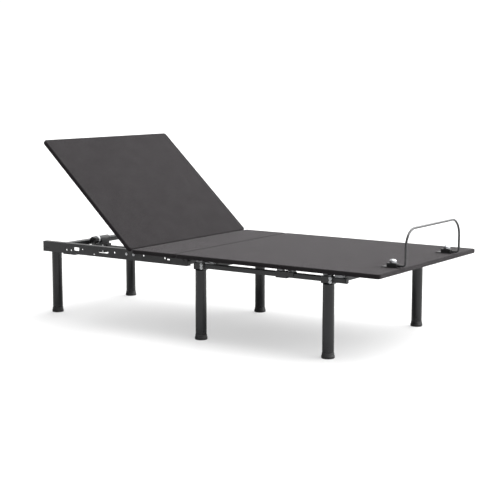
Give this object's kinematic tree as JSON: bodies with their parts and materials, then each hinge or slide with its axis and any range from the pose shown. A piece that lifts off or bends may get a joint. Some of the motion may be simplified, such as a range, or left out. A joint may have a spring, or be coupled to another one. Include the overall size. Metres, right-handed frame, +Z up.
{
  "type": "adjustable bed base",
  "caption": "Twin XL adjustable bed base: fabric deck, steel frame on round legs, actuator-raised head panel and a mattress bar at the foot.",
  "frame": {"origin": "on the floor, at the bottom centre of the object's box in the drawn pose", "axes": "+X towards the foot end, +Y towards the far side, +Z up"},
  "size_m": [1.9606, 0.93, 0.8719],
  "materials": {
    "deck_fabric": "woven polyester cover, matt with a slight sheen",
    "frame_paint": "satin charcoal powder coat",
    "leg_paint": "semi-gloss graphite paint",
    "boot_rubber": "moulded matt black",
    "bracket_paint": "gloss black paint",
    "grey_plastic": "moulded light grey",
    "zinc": "zinc plated",
    "actuator_plastic": "moulded black",
    "actuator_paint": "satin black",
    "wire_paint": "smooth silver grey paint",
    "clamp_plastic": "moulded black",
    "knob_chrome": "bright chrome"
  },
  "bodies": {
    "frame": {"seat_panel": "deck_fabric", "leg_panel": "deck_fabric", "head_rail_near": "frame_paint", "head_rail_far": "frame_paint", "head_cross_beam": "frame_paint", "mid_cross_beam": "frame_paint", "foot_tube_near": "frame_paint", "foot_tube_far": "frame_paint", "foot_cross_beam_head": "frame_paint", "foot_cross_beam_foot": "frame_paint", "leg_head_near": "leg_paint", "leg_head_far": "leg_paint", "leg_mid_near": "leg_paint", "leg_mid_far": "leg_paint", "leg_foot_near": "leg_paint", "leg_foot_far": "leg_paint", "boot_head_near": "boot_rubber", "boot_head_far": "boot_rubber", "boot_mid_near": "boot_rubber", "boot_mid_far": "boot_rubber", "boot_foot_near": "boot_rubber", "boot_foot_far": "boot_rubber", "joining_bar_near": "bracket_paint", "joining_bar_far": "bracket_paint", "leg_saddle_mid_near": "bracket_paint", "leg_saddle_foot_near": "bracket_paint", "leg_saddle_foot_far": "bracket_paint", "tube_sleeve_near": "bracket_paint", "tube_sleeve_far": "bracket_paint", "hinge_bracket_near": "bracket_paint", "hinge_bracket_far": "bracket_paint", "tail_bracket": "bracket_paint", "deck_bracket_head_near": "grey_plastic", "deck_bracket_mid_near": "grey_plastic", "deck_bracket_foot_near": "grey_plastic", "deck_bracket_head_far": "grey_plastic", "deck_bracket_mid_far": "grey_plastic", "deck_bracket_foot_far": "grey_plastic", "hinge_pin_near": "zinc", "hinge_pin_far": "zinc", "tail_pin": "zinc", "control_box": "actuator_plastic", "retainer_bar": "wire_paint", "retainer_clamp_near": "clamp_plastic", "retainer_clamp_far": "clamp_plastic", "retainer_knob_near": "knob_chrome", "retainer_knob_far": "knob_chrome"},
    "head": {"head_panel": "deck_fabric", "head_frame_bar_near": "frame_paint", "head_frame_bar_far": "frame_paint", "head_frame_cross_upper": "frame_paint", "head_frame_cross_lower": "frame_paint", "lift_lever": "bracket_paint"},
    "actuator": {"gearbox": "actuator_plastic", "motor": "actuator_paint", "outer_tube": "actuator_paint"},
    "rod": {"push_rod": "zinc", "rod_pin": "zinc"}
  },
  "joints": [
    {"name": "head_lift", "type": "hinge", "parent": "frame", "child": "head", "pos_m": [-0.32575, 0, 0.374], "axis": [0, 1, 0], "range_deg": [-42.8, 15]},
    {"name": "actuator_tilt", "type": "hinge", "parent": "frame", "child": "actuator", "pos_m": [-0.94675, 0, 0.297], "axis": [0, 1, 0], "range_deg": [-2, 2]},
    {"name": "rod_slide", "type": "slide", "parent": "actuator", "child": "rod", "axis": [1, 0, -0.0003], "range_m": [-0.03, 0.075]}
  ],
  "couplings": [
    {"joint": "actuator_tilt", "follows": "head_lift", "ratio": -0.032},
    {"joint": "rod_slide", "follows": "head_lift", "m_per_rad": -0.086}
  ]
}
